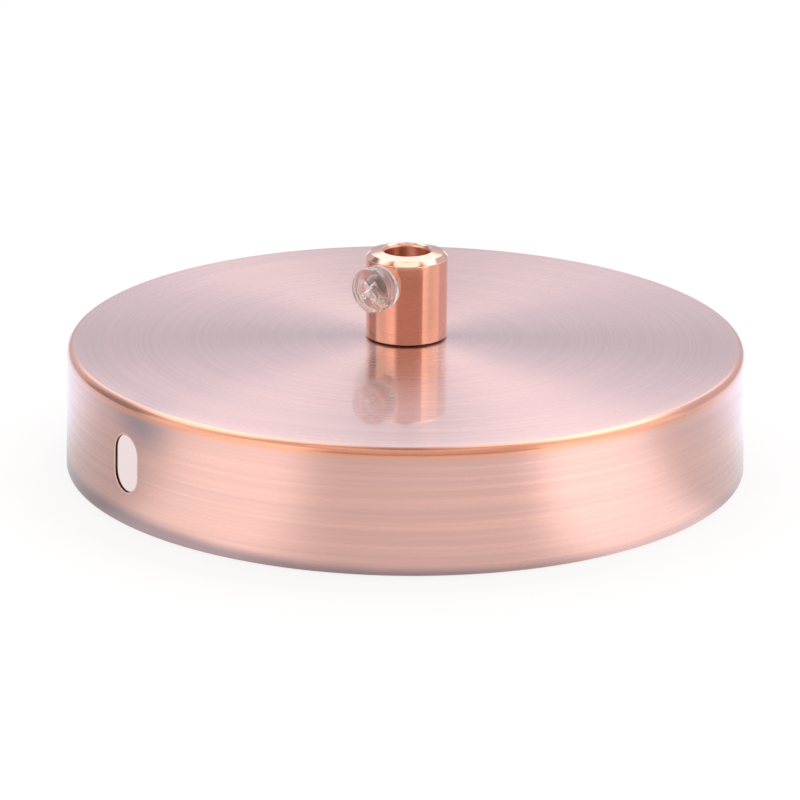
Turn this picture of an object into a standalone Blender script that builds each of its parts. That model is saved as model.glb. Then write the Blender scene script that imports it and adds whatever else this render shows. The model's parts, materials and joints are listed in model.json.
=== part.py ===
"""A round ceiling canopy for a pendant lamp: a drawn sheet cup with a cord grip on its middle.

The canopy lies rim down on the XY plane. The origin is the middle of the rim, +Z runs up through the cord
grip, and the two slots in the wall lie on the X axis. Every length is in metres, and MM turns millimetres
into metres.
"""

import math

import bmesh
import bpy
from mathutils import Matrix

MM = 0.001

# Clearances
SEAT_GAP = 0.3 * MM  # between faces that touch on the real object
THREAD_GAP = 0.3 * MM  # all round a thread in its hole, with the thread itself drawn as a plain cylinder

# Canopy cup, drawn from one disc of sheet
CANOPY_DIAMETER = 120.0 * MM  # outside, where the wall meets the shoulder
CANOPY_HEIGHT = 22.0 * MM  # from the rim to the edge of the top plate
SHEET = 0.6 * MM  # thickness of the sheet
RIM_FLARE = 0.4 * MM  # how much further out the wall stands at the rim, on each side
PLATE_CROWN = 0.65 * MM  # how much the middle of the plate stands above its edge
SHOULDER_RADIUS = 1.4 * MM  # outside radius between the plate and the wall
RIM_CHAMFER = 0.1 * MM  # broken corners of the sheet's cut edge

# Upright obround slots in the wall, one on each side
SLOT_WIDTH = 6.5 * MM
SLOT_HEIGHT = 10.0 * MM
SLOT_MIDDLE = 11.05 * MM  # above the rim

# Passage for the cord, through the grip and the threaded nipple
CORD_BORE = 8.0 * MM
NIPPLE_WALL = 1.0 * MM
NIPPLE_CHAMFER = 0.4 * MM
NIPPLE_STANDOUT = 2.0 * MM  # how far the nipple stands out below the nut

# Turned body of the cord grip
GRIP_WALL = 1.9 * MM  # round the tapped bore
GRIP_HEIGHT = 15.5 * MM  # from its foot to the top of the lip round the bore
GRIP_TOP_RISE = 0.4 * MM  # how much the lip stands above the outer edge of the top
GRIP_EDGE_CHAMFER = 0.75 * MM
GRIP_FOOT_CHAMFER = 0.15 * MM
LIP_ROUND = 0.9 * MM  # radius that leads the cord into the bore
LIP_TURN = 60.0  # how far that round turns before it meets the top, in degrees
THREAD_MOUTH_CHAMFER = 0.5 * MM
THREAD_TO_SCREW_WEB = 1.0 * MM  # metal between the end of the tapped bore and the hole for the screw

# Plastic screw that clamps the cord
SCREW_AZIMUTH = math.radians(-75.0)  # round +Z from -Y, which puts it 15 degrees from the slot on -X
SCREW_BELOW_TOP = 5.1 * MM  # from the top of the lip down to the screw's axis
SCREW_SHANK_DIAMETER = 4.8 * MM
SCREW_REACH = 2.0 * MM  # how far the tip stands into the cord bore
SCREW_TIP_CHAMFER = 0.5 * MM
HEAD_DIAMETER = 8.0 * MM
HEAD_THICKNESS = 3.4 * MM
HEAD_EDGE_ROUND = 0.4 * MM
HEAD_GROOVE_WIDTH = 0.5 * MM
HEAD_GROOVE_DEPTH = 0.25 * MM
HEAD_GROOVE_FROM_FACE = 1.8 * MM  # from the face of the head to the middle of the groove
RECESS_LENGTH = 4.6 * MM  # across the cross recess at the face
RECESS_FLOOR_LENGTH = 1.7 * MM
RECESS_WIDTH = 1.15 * MM
RECESS_FLOOR_WIDTH = 0.8 * MM
RECESS_DEPTH = 1.9 * MM

# Internal-tooth lock washer
TOOTH_COUNT = 10
TOOTH_LENGTH = 1.5 * MM
TOOTH_SHARE = 0.6  # part of each pitch that the tooth fills
TOOTH_TWIST = math.radians(18.0)
WASHER_BAND = 2.2 * MM  # width of the solid ring outside the teeth
WASHER_SHEET = 0.6 * MM

# Hexagon lock nut
NUT_FLATS = 14.0 * MM
NUT_HEIGHT = 3.0 * MM
NUT_CORNER_ANGLE = math.radians(30.0)  # of the turned bevel on its corners
NUT_BORE_CHAMFER = 0.4 * MM

# Facets
CANOPY_STEPS = 96
GRIP_STEPS = 64
SMALL_STEPS = 48
CUTTER_OVERRUN = 2.0 * MM  # how far a cutter runs past what it cuts
SHARP_EDGE = math.radians(32.0)

# Sizes that follow from those above
wall_radius = CANOPY_DIAMETER / 2
plate_radius = wall_radius - SHOULDER_RADIUS
bore_radius = CORD_BORE / 2
thread_radius = bore_radius + NIPPLE_WALL
thread_hole_radius = thread_radius + THREAD_GAP
grip_radius = thread_hole_radius + GRIP_WALL
shank_radius = SCREW_SHANK_DIAMETER / 2
shank_hole_radius = shank_radius + THREAD_GAP


def plate_height(radius):
    """Height of the top plate's outer face at this distance from the axis."""
    return CANOPY_HEIGHT + PLATE_CROWN * (1 - (radius / plate_radius) ** 2)


# Heights of the stack, from the grip down to the end of the nipple
grip_foot = plate_height(thread_hole_radius) + SEAT_GAP
lip_top = grip_foot + GRIP_HEIGHT
screw_height = lip_top - SCREW_BELOW_TOP
thread_top = screw_height - shank_hole_radius - THREAD_TO_SCREW_WEB
tooth_root_radius = thread_hole_radius + TOOTH_LENGTH
washer_radius = tooth_root_radius + WASHER_BAND
tooth_half_angle = math.pi / TOOTH_COUNT * TOOTH_SHARE
tooth_tip_rise = thread_hole_radius * math.sin(tooth_half_angle) * math.tan(TOOTH_TWIST)
washer_middle = plate_height(washer_radius) - SHEET - SEAT_GAP - WASHER_SHEET / 2 - tooth_tip_rise
nut_top = washer_middle - tooth_tip_rise - WASHER_SHEET / 2 - SEAT_GAP
nut_bottom = nut_top - NUT_HEIGHT
nipple_bottom = nut_bottom - NIPPLE_STANDOUT
nipple_top = thread_top - SEAT_GAP


def clear_scene():
    for old in list(bpy.data.objects):
        bpy.data.objects.remove(old)


def principled(name, colour, roughness, metallic, transmission=0.0):
    """A material with one Principled BSDF."""
    material = bpy.data.materials.new(name)
    material.use_nodes = True
    shader = material.node_tree.nodes["Principled BSDF"]
    shader.inputs["Base Color"].default_value = (*colour, 1.0)
    shader.inputs["Roughness"].default_value = roughness
    shader.inputs["Metallic"].default_value = metallic
    shader.inputs["Transmission Weight"].default_value = transmission
    material.diffuse_color = (*colour, 1.0)
    return material


def add_object(name, bm, material=None):
    """Turns a bmesh into a named object, shaded smooth apart from its sharp edges."""
    bmesh.ops.recalc_face_normals(bm, faces=bm.faces)
    mesh = bpy.data.meshes.new(name)
    bm.to_mesh(mesh)
    bm.free()
    mesh.shade_smooth()
    mesh.set_sharp_from_angle(angle=SHARP_EDGE)
    if material:
        mesh.materials.append(material)
    obj = bpy.data.objects.new(name, mesh)
    bpy.context.scene.collection.objects.link(obj)
    return obj


def arc(centre_radius, centre_height, size, start, end, steps):
    """Points (radius, height) on an arc, from start to end in degrees, where 0 points outwards and 90 up."""
    angles = [math.radians(start + (end - start) * i / steps) for i in range(steps + 1)]
    return [(centre_radius + size * math.cos(a), centre_height + size * math.sin(a)) for a in angles]


def turned(outline, steps):
    """A bmesh made by spinning a closed outline of (radius, height) points about Z."""
    bm = bmesh.new()
    corners = [bm.verts.new((radius, 0, height)) for radius, height in outline]
    for first, second in zip(corners, corners[1:] + corners[:1]):
        bm.edges.new((first, second))
    bmesh.ops.spin(
        bm,
        geom=bm.verts[:] + bm.edges[:],
        cent=(0, 0, 0),
        axis=(0, 0, 1),
        angle=math.tau,
        steps=steps,
        use_merge=True,
    )
    bmesh.ops.remove_doubles(bm, verts=bm.verts, dist=0.001 * MM)
    return bm


def as_cutter(obj):
    obj.hide_render = True
    obj.display_type = "WIRE"
    return obj


def boolean(obj, other, operation):
    modifier = obj.modifiers.new(operation.title() + " " + other.name, "BOOLEAN")
    modifier.operation = operation
    modifier.solver = "EXACT"
    modifier.object = other


def put_on_screw_axis(obj):
    """Places an object so that its own +Z points out along the clamping screw's axis."""
    obj.location = (0, 0, screw_height)
    obj.rotation_euler = (math.radians(90), 0, SCREW_AZIMUTH)


def canopy_section():
    """Section of the cup's sheet: down its outside from the centre hole to the rim, and back up its inside."""
    rim_radius = wall_radius + RIM_FLARE
    inner_shoulder = SHOULDER_RADIUS - SHEET
    plate_radii = [thread_hole_radius + (plate_radius - thread_hole_radius) * i / 4 for i in range(4)]
    shoulder_middle = CANOPY_HEIGHT - SHOULDER_RADIUS
    outside = [(radius, plate_height(radius)) for radius in plate_radii]
    outside += arc(plate_radius, shoulder_middle, SHOULDER_RADIUS, 90, 0, 6)
    rim = [
        (rim_radius, RIM_CHAMFER),
        (rim_radius - RIM_CHAMFER, 0),
        (rim_radius - SHEET + RIM_CHAMFER, 0),
        (rim_radius - SHEET, RIM_CHAMFER),
    ]
    inside = arc(plate_radius, shoulder_middle, inner_shoulder, 0, 90, 4)
    inside += [(radius, plate_height(radius) - SHEET) for radius in reversed(plate_radii)]
    return outside + rim + inside


def slot_cutter():
    """An obround bar along X, which goes through both sides of the wall."""
    half_length = wall_radius + RIM_FLARE + CUTTER_OVERRUN
    end_radius = SLOT_WIDTH / 2
    end_offset = SLOT_HEIGHT / 2 - end_radius
    outline = arc(0, SLOT_MIDDLE + end_offset, end_radius, 0, 180, 12)
    outline += arc(0, SLOT_MIDDLE - end_offset, end_radius, 180, 360, 12)
    bm = bmesh.new()
    end_face = bm.faces.new([bm.verts.new((-half_length, y, z)) for y, z in outline])
    bar = bmesh.ops.extrude_face_region(bm, geom=[end_face])["geom"]
    moved = [item for item in bar if isinstance(item, bmesh.types.BMVert)]
    bmesh.ops.translate(bm, verts=moved, vec=(2 * half_length, 0, 0))
    return as_cutter(add_object("slot_cutter", bm))


def make_canopy_shell(material):
    shell = add_object("canopy_shell", turned(canopy_section(), CANOPY_STEPS), material)
    boolean(shell, slot_cutter(), "DIFFERENCE")
    return shell


def grip_section():
    """Section of the grip's wall: from the lip out and down to the foot, and back up through both bores."""
    lip_foot = lip_top - LIP_ROUND * math.sin(math.radians(LIP_TURN))
    edge_top = lip_top - GRIP_TOP_RISE
    cone_length = thread_hole_radius - bore_radius
    section = arc(bore_radius + LIP_ROUND, lip_foot, LIP_ROUND, 180, 180 - LIP_TURN, 5)
    section += [
        (grip_radius - GRIP_EDGE_CHAMFER, edge_top),
        (grip_radius, edge_top - GRIP_EDGE_CHAMFER),
        (grip_radius, grip_foot + GRIP_FOOT_CHAMFER),
        (grip_radius - GRIP_FOOT_CHAMFER, grip_foot),
        (thread_hole_radius + THREAD_MOUTH_CHAMFER, grip_foot),
        (thread_hole_radius, grip_foot + THREAD_MOUTH_CHAMFER),
        (thread_hole_radius, thread_top),
        (bore_radius, thread_top + cone_length * math.tan(math.radians(30))),
    ]
    return section


def screw_hole_cutter():
    """A cylinder from the grip's axis out through one side of its wall."""
    bm = bmesh.new()
    depth = grip_radius + CUTTER_OVERRUN
    bmesh.ops.create_cone(
        bm, cap_ends=True, segments=SMALL_STEPS, radius1=shank_hole_radius, radius2=shank_hole_radius, depth=depth
    )
    bmesh.ops.translate(bm, verts=bm.verts, vec=(0, 0, depth / 2))
    cutter = as_cutter(add_object("screw_hole_cutter", bm))
    put_on_screw_axis(cutter)
    return cutter


def make_cord_grip_body(material):
    body = add_object("cord_grip_body", turned(grip_section(), GRIP_STEPS), material)
    boolean(body, screw_hole_cutter(), "DIFFERENCE")
    return body


def screw_section():
    """Half section of the screw about its own axis, with heights measured out from the grip's axis."""
    head_radius = HEAD_DIAMETER / 2
    head_back = grip_radius + SEAT_GAP
    head_face = head_back + HEAD_THICKNESS
    groove_middle = head_face - HEAD_GROOVE_FROM_FACE
    groove_half = HEAD_GROOVE_WIDTH / 2
    groove_floor = head_radius - HEAD_GROOVE_DEPTH
    tip = bore_radius - SCREW_REACH
    back_chamfer = HEAD_EDGE_ROUND / 2
    section = [(0, head_face)]
    section += arc(head_radius - HEAD_EDGE_ROUND, head_face - HEAD_EDGE_ROUND, HEAD_EDGE_ROUND, 90, 0, 4)
    section += [
        (head_radius, groove_middle + groove_half),
        (groove_floor, groove_middle + groove_half / 2),
        (groove_floor, groove_middle - groove_half / 2),
        (head_radius, groove_middle - groove_half),
        (head_radius, head_back + back_chamfer),
        (head_radius - back_chamfer, head_back),
        (shank_radius, head_back),
        (shank_radius, tip + SCREW_TIP_CHAMFER),
        (shank_radius - SCREW_TIP_CHAMFER, tip),
        (0, tip),
    ]
    return section


def recess_blade(name, angle):
    """One tapered blade of the cross recess, set in from the head's face."""
    head_face = grip_radius + SEAT_GAP + HEAD_THICKNESS
    taper = CUTTER_OVERRUN / RECESS_DEPTH
    top_length = RECESS_LENGTH + (RECESS_LENGTH - RECESS_FLOOR_LENGTH) * taper
    top_width = RECESS_WIDTH + (RECESS_WIDTH - RECESS_FLOOR_WIDTH) * taper
    levels = [
        (head_face + CUTTER_OVERRUN, top_length, top_width),
        (head_face - RECESS_DEPTH, RECESS_FLOOR_LENGTH, RECESS_FLOOR_WIDTH),
    ]
    bm = bmesh.new()
    rings = []
    for height, length, width in levels:
        corners = [(length / 2, width / 2), (-length / 2, width / 2), (-length / 2, -width / 2), (length / 2, -width / 2)]
        rings.append([bm.verts.new((x, y, height)) for x, y in corners])
    upper, lower = rings
    bm.faces.new(upper)
    bm.faces.new(lower[::-1])
    for i in range(4):
        j = (i + 1) % 4
        bm.faces.new((upper[i], lower[i], lower[j], upper[j]))
    bmesh.ops.rotate(bm, verts=bm.verts, matrix=Matrix.Rotation(angle, 3, "Z"))
    blade = as_cutter(add_object(name, bm))
    put_on_screw_axis(blade)
    return blade


def make_grip_screw(material):
    screw = add_object("grip_screw", turned(screw_section(), SMALL_STEPS), material)
    put_on_screw_axis(screw)
    boolean(screw, recess_blade("recess_blade_rising", math.radians(45)), "DIFFERENCE")
    boolean(screw, recess_blade("recess_blade_falling", math.radians(-45)), "DIFFERENCE")
    return screw


def make_threaded_nipple(material):
    tip_radius = thread_radius - NIPPLE_CHAMFER
    section = [
        (bore_radius, nipple_top),
        (tip_radius, nipple_top),
        (thread_radius, nipple_top - NIPPLE_CHAMFER),
        (thread_radius, nipple_bottom + NIPPLE_CHAMFER),
        (tip_radius, nipple_bottom),
        (bore_radius, nipple_bottom),
    ]
    return add_object("threaded_nipple", turned(section, SMALL_STEPS), material)


def make_lock_washer(material):
    """A flat ring with teeth that point inwards, each twisted about its own middle line."""
    steps_per_tooth = 4
    steps_per_gap = 2
    tooth_angle = 2 * tooth_half_angle
    gap_angle = math.tau / TOOTH_COUNT - tooth_angle
    stations = []
    for tooth in range(TOOTH_COUNT):
        middle = math.tau * tooth / TOOTH_COUNT
        for i in range(steps_per_tooth):
            stations.append((middle - tooth_half_angle + tooth_angle * i / steps_per_tooth, middle, True))
        for i in range(steps_per_gap):
            stations.append((middle + tooth_half_angle + gap_angle * i / steps_per_gap, middle, False))
    bm = bmesh.new()
    outer = []
    root = []
    tips = []
    for angle, middle, in_tooth in stations:
        direction = (math.cos(angle), math.sin(angle))
        rise = thread_hole_radius * math.sin(angle - middle) * math.tan(TOOTH_TWIST)
        outer.append(bm.verts.new((washer_radius * direction[0], washer_radius * direction[1], 0)))
        root.append(bm.verts.new((tooth_root_radius * direction[0], tooth_root_radius * direction[1], 0)))
        closes_tooth = abs(angle - middle) < tooth_half_angle * 1.001
        tip_place = (thread_hole_radius * direction[0], thread_hole_radius * direction[1], rise)
        tips.append(bm.verts.new(tip_place) if closes_tooth else None)
    for i, (angle, middle, in_tooth) in enumerate(stations):
        j = (i + 1) % len(stations)
        bm.faces.new((outer[i], outer[j], root[j], root[i]))
        if in_tooth:
            bm.faces.new((root[i], root[j], tips[j], tips[i]))
    bmesh.ops.translate(bm, verts=bm.verts, vec=(0, 0, washer_middle))
    washer = add_object("lock_washer", bm, material)
    thickness = washer.modifiers.new("Sheet", "SOLIDIFY")
    thickness.thickness = WASHER_SHEET
    thickness.offset = 0
    return washer


def make_lock_nut(material):
    """A hexagon prism, cut to a turned blank whose two bevels run from the flats until they meet."""
    bm = bmesh.new()
    corner_radius = NUT_FLATS / 2 / math.cos(math.pi / 6)
    bmesh.ops.create_cone(
        bm, cap_ends=True, segments=6, radius1=corner_radius, radius2=corner_radius, depth=NUT_HEIGHT
    )
    bmesh.ops.translate(bm, verts=bm.verts, vec=(0, 0, (nut_top + nut_bottom) / 2))
    nut = add_object("lock_nut", bm, material)
    flat_radius = NUT_FLATS / 2
    blank_radius = flat_radius + NUT_HEIGHT / 2 / math.tan(NUT_CORNER_ANGLE)
    blank_section = [
        (thread_hole_radius + NUT_BORE_CHAMFER, nut_top),
        (flat_radius, nut_top),
        (blank_radius, (nut_top + nut_bottom) / 2),
        (flat_radius, nut_bottom),
        (thread_hole_radius + NUT_BORE_CHAMFER, nut_bottom),
        (thread_hole_radius, nut_bottom + NUT_BORE_CHAMFER),
        (thread_hole_radius, nut_top - NUT_BORE_CHAMFER),
    ]
    blank = as_cutter(add_object("nut_blank", turned(blank_section, SMALL_STEPS)))
    boolean(nut, blank, "INTERSECT")
    return nut


def main():
    clear_scene()
    brushed_copper = principled("brushed_copper", (0.86, 0.56, 0.45), 0.32, 1.0)
    polished_copper = principled("polished_copper", (0.93, 0.52, 0.37), 0.08, 1.0)
    clear_plastic = principled("clear_plastic", (0.95, 0.93, 0.92), 0.12, 0.0, transmission=0.9)
    zinc_steel = principled("zinc_steel", (0.70, 0.71, 0.72), 0.35, 1.0)
    make_canopy_shell(brushed_copper)
    make_cord_grip_body(polished_copper)
    make_grip_screw(clear_plastic)
    make_threaded_nipple(zinc_steel)
    make_lock_washer(zinc_steel)
    make_lock_nut(zinc_steel)


main()
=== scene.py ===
"""Looks of the ceiling canopy: brushed and lacquered copper, a polished cord grip and a clear clamping screw.

The scene is in metres. The canopy stands rim down, with the origin in the middle of its rim and +Z up
through the cord grip. The slots in its wall lie on the X axis.
"""

import json
import math

import bmesh
import bpy
from mathutils import Matrix, Vector


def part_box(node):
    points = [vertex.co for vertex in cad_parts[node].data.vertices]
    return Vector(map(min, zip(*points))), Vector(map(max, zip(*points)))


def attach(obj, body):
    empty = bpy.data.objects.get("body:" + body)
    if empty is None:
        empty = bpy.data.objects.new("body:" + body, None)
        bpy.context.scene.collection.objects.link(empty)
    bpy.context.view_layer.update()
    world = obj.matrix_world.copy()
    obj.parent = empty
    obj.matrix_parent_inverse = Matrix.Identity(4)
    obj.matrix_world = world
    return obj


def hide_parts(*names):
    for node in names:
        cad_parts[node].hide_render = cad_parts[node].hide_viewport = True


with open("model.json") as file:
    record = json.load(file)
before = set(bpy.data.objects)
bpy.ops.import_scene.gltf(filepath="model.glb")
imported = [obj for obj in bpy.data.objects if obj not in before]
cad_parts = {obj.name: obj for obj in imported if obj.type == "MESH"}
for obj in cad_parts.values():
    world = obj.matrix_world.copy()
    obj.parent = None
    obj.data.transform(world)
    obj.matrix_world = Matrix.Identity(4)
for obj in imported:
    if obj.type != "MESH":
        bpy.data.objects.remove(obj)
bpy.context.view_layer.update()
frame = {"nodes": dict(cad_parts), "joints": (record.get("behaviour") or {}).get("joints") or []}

MM = 0.001
CANOPY_BODY = "canopy"
SCREW_BODY = "clamping_screw"

# Sizes that the frame gives
shell_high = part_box("canopy_shell")[1]
grip_low, grip_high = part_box("cord_grip_body")
screw_low, screw_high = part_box("grip_screw")
nipple_low, nipple_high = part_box("threaded_nipple")
rim_radius = shell_high.x
grip_radius = grip_high.x
grip_foot = grip_low.z
lip_top = grip_high.z
thread_radius = nipple_high.x
screw_height = (screw_low.z + screw_high.z) / 2
screw_axis = Vector(frame["joints"][0]["axis"])

# Sizes that the frame doesn't give, as in the part
SHEET = 0.6 * MM
RIM_FLARE = 0.4 * MM
PLATE_CROWN = 0.65 * MM
CANOPY_HEIGHT = 22.0 * MM
SHOULDER_RADIUS = 1.4 * MM
SLOT_WIDTH = 6.5 * MM
SLOT_HEIGHT = 10.0 * MM
SLOT_MIDDLE = 11.05 * MM
THREAD_GAP = 0.3 * MM
NIPPLE_WALL = 1.0 * MM
THREAD_PITCH = 1.0 * MM
THREAD_DEPTH = 0.35 * MM
wall_radius = rim_radius - RIM_FLARE
plate_radius = wall_radius - SHOULDER_RADIUS
bore_radius = thread_radius - NIPPLE_WALL
thread_hole_radius = thread_radius + THREAD_GAP
wall_top = CANOPY_HEIGHT - SHOULDER_RADIUS

# Fineness of the meshes
SHELL_COLUMNS = 384
GRIP_COLUMNS = 192
SMALL_COLUMNS = 96
HOLE_COLUMNS = 64


def plate_height(radius):
    """Height of the top plate's outer face at this distance from the axis."""
    return CANOPY_HEIGHT + PLATE_CROWN * (1 - (radius / plate_radius) ** 2)


def wall_radius_at(height):
    """Outside radius of the wall, which stands a little further out at the rim."""
    return wall_radius + RIM_FLARE * (1 - height / wall_top)


def spread(first, last, count):
    """Evenly spaced numbers from first to last, both included."""
    return [first + (last - first) * i / (count - 1) for i in range(count)]


def arc(centre_radius, centre_height, size, start, end, steps):
    """Points (radius, height) on an arc, from start to end in degrees, where 0 points outwards and 90 up."""
    angles = [math.radians(a) for a in spread(start, end, steps + 1)]
    return [(centre_radius + size * math.cos(a), centre_height + size * math.sin(a)) for a in angles]


def add_piece(name, bm, material, body, replaced, sharp_degrees=35):
    """Turns a bmesh into a smooth-shaded piece that rides on a body and stands for a CAD node."""
    bmesh.ops.recalc_face_normals(bm, faces=bm.faces)
    mesh = bpy.data.meshes.new(name)
    bm.to_mesh(mesh)
    bm.free()
    mesh.shade_smooth()
    mesh.set_sharp_from_angle(angle=math.radians(sharp_degrees))
    mesh.materials.append(material)
    piece = bpy.data.objects.new(name, mesh)
    bpy.context.scene.collection.objects.link(piece)
    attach(piece, body)
    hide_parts(replaced)
    return piece


def ring_grid(bm, section, columns, radius_of=None):
    """Vertices of a closed section of (radius, height) points at each column round Z, as rows of columns."""
    rows = []
    for radius, height in section:
        row = []
        for j in range(columns):
            angle = math.tau * j / columns
            r = radius_of(radius, height, angle) if radius_of else radius
            row.append(bm.verts.new((r * math.cos(angle), r * math.sin(angle), height)))
        rows.append(row)
    return rows


def skin_grid(bm, rows, left_out=()):
    """Faces between neighbouring rows, and from the last row back to the first."""
    count = len(rows)
    for i in range(count):
        upper = rows[i]
        lower = rows[(i + 1) % count]
        columns = len(upper)
        for j in range(columns):
            if (i, j) in left_out:
                continue
            k = (j + 1) % columns
            bm.faces.new((upper[j], lower[j], lower[k], upper[k]))


def skin_turned(bm, rows):
    """Faces between the rows, and a flat end on the first and on the last."""
    for upper, lower in zip(rows, rows[1:]):
        for j in range(len(upper)):
            k = (j + 1) % len(upper)
            bm.faces.new((upper[j], lower[j], lower[k], upper[k]))
    bm.faces.new(rows[0])
    bm.faces.new(rows[-1])


def obround_point(share, half_width, half_height):
    """Point (u, v) on an upright obround, at this share of its outline, counted from +u towards +v."""
    straight = half_height - half_width
    quarter = math.pi / 2 * half_width
    total = 4 * (straight + quarter)
    along = share * total % total
    if along < straight:
        return half_width, along
    along -= straight
    if along < 2 * quarter:
        angle = along / half_width
        return half_width * math.cos(angle), straight + half_width * math.sin(angle)
    along -= 2 * quarter
    if along < 2 * straight:
        return -half_width, straight - along
    along -= 2 * straight
    if along < 2 * quarter:
        angle = math.pi + along / half_width
        return half_width * math.cos(angle), -straight + half_width * math.sin(angle)
    along -= 2 * quarter
    return half_width, -straight + along


# Shell

WALL_ROWS = 23
SLOT_PATCH_COLUMNS = 6  # on each side of the slot's middle
SLOT_EDGE_ROUND = 0.14 * MM
SLOT_RINGS = 4
RIM_ROUND = 0.22 * MM


def shell_section():
    """Section of the sheet: down its outside from the centre hole to the rim, and back up its inside."""
    plate_radii = spread(thread_hole_radius, plate_radius, 26)[:-1]
    wall_heights = spread(wall_top, RIM_ROUND, WALL_ROWS)[1:]
    shoulder_inner = SHOULDER_RADIUS - SHEET
    outside = [(r, plate_height(r)) for r in plate_radii]
    outside += arc(plate_radius, wall_top, SHOULDER_RADIUS, 90, 0, 14)
    wall_start = len(outside) - 1
    outside += [(wall_radius_at(z), z) for z in wall_heights]
    rim = arc(rim_radius - RIM_ROUND, RIM_ROUND, RIM_ROUND, 0, -90, 5)[1:]
    rim += arc(rim_radius - SHEET + RIM_ROUND, RIM_ROUND, RIM_ROUND, -90, -180, 5)
    inner_wall_start = len(outside) + len(rim) - 1
    inside = [(wall_radius_at(z) - SHEET, z) for z in reversed(spread(wall_top, RIM_ROUND, WALL_ROWS)[:-1])]
    inside += arc(plate_radius, wall_top, shoulder_inner, 0, 90, 8)[1:]
    inside += [(r, plate_height(r) - SHEET) for r in reversed(plate_radii)]
    return outside + rim + inside, wall_start, inner_wall_start


def slot_rows(start, downwards):
    """Indexes of the wall's rows that frame the slot's patch, in the order of the section."""
    heights = spread(wall_top, RIM_ROUND, WALL_ROWS)
    if not downwards:
        heights.reverse()
    margin = 2.0 * MM
    low = SLOT_MIDDLE - SLOT_HEIGHT / 2 - margin
    high = SLOT_MIDDLE + SLOT_HEIGHT / 2 + margin
    inside = [i for i, z in enumerate(heights) if low <= z <= high]
    return start + inside[0], start + inside[-1]


def patch_outline(rows, first_row, last_row, middle_column):
    """The grid's vertices round a slot's patch, counter-clockwise from outside, from the +u side's middle."""
    columns = len(rows[0])
    left = middle_column - SLOT_PATCH_COLUMNS
    right = middle_column + SLOT_PATCH_COLUMNS
    if rows[first_row][0].co.z > rows[last_row][0].co.z:
        bottom, top = last_row, first_row
    else:
        bottom, top = first_row, last_row
    up = 1 if top > bottom else -1
    side = list(range(bottom, top + up, up))
    loop = [(i, right) for i in side]
    loop += [(top, j) for j in range(right - 1, left - 1, -1)]
    loop += [(i, left) for i in side[::-1][1:]]
    loop += [(bottom, j) for j in range(left + 1, right)]
    start = min(range(len(side)), key=lambda n: abs(rows[side[n]][0].co.z - SLOT_MIDDLE))
    loop = loop[start:] + loop[:start]
    return [rows[i][j % columns] for i, j in loop]


def outline_shares(outline, azimuth):
    """Share of the outline at each of its vertices, counted from the +u side at the slot's middle height."""
    flat = []
    for vert in outline:
        turned_back = Matrix.Rotation(-azimuth, 3, "Z") @ vert.co
        flat.append((turned_back.y, vert.co.z))
    lengths = [math.dist(a, b) for a, b in zip(flat, flat[1:] + flat[:1])]
    total = sum(lengths)
    first = (flat[0][1] - SLOT_MIDDLE) / total
    shares = []
    run = 0.0
    for length in lengths:
        shares.append(first + run / total)
        run += length
    return shares


def slot_ring(bm, shares, azimuth, grow, depth):
    """A ring of vertices at the slot's outline grown by grow, at this depth below the wall's outside."""
    ring = []
    for share in shares:
        u, v = obround_point(share, SLOT_WIDTH / 2 + grow, SLOT_HEIGHT / 2 + grow)
        z = SLOT_MIDDLE + v
        radius = wall_radius_at(z) - depth
        place = Vector((math.sqrt(radius**2 - u**2), u, z))
        ring.append(bm.verts.new(Matrix.Rotation(azimuth, 3, "Z") @ place))
    return ring


def between_ring(bm, ring, outline, share):
    """A ring part of the way from the slot's edge to the patch's outline, kept on the wall's curve."""
    made = []
    for near, far in zip(ring, outline):
        near_radius = math.hypot(near.co.x, near.co.y)
        far_radius = math.hypot(far.co.x, far.co.y)
        radius = near_radius + (far_radius - near_radius) * share
        place = near.co.lerp(far.co, share)
        scale = radius / math.hypot(place.x, place.y)
        made.append(bm.verts.new((place.x * scale, place.y * scale, place.z)))
    return made


def join_rings(bm, first, second):
    for a in range(len(first)):
        b = (a + 1) % len(first)
        bm.faces.new((first[a], first[b], second[b], second[a]))


def cut_slot(bm, rows, outer_rows, inner_rows, azimuth):
    """Fills the patches left open in both faces of the wall with a slot whose edges are rounded."""
    middle_column = round(azimuth / math.tau * SHELL_COLUMNS)
    outer = patch_outline(rows, *outer_rows, middle_column)
    inner = patch_outline(rows, *inner_rows, middle_column)
    shares = outline_shares(outer, azimuth)
    rings = []
    edge_steps = 4
    for i in range(edge_steps + 1):
        turn = math.pi / 2 * i / edge_steps
        grow = SLOT_EDGE_ROUND * (1 - math.sin(turn))
        depth = SLOT_EDGE_ROUND * (1 - math.cos(turn))
        rings.append(slot_ring(bm, shares, azimuth, grow, depth))
    for i in range(edge_steps + 1):
        turn = math.pi / 2 * i / edge_steps
        grow = SLOT_EDGE_ROUND * (1 - math.cos(turn))
        depth = SHEET - SLOT_EDGE_ROUND * (1 - math.sin(turn))
        rings.append(slot_ring(bm, shares, azimuth, grow, depth))
    outer_between = [between_ring(bm, rings[0], outer, i / SLOT_RINGS) for i in range(SLOT_RINGS - 1, 0, -1)]
    inner_between = [between_ring(bm, rings[-1], inner, i / SLOT_RINGS) for i in range(1, SLOT_RINGS)]
    chain = [outer] + outer_between + rings + inner_between + [inner]
    for first, second in zip(chain, chain[1:]):
        join_rings(bm, first, second)


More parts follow.
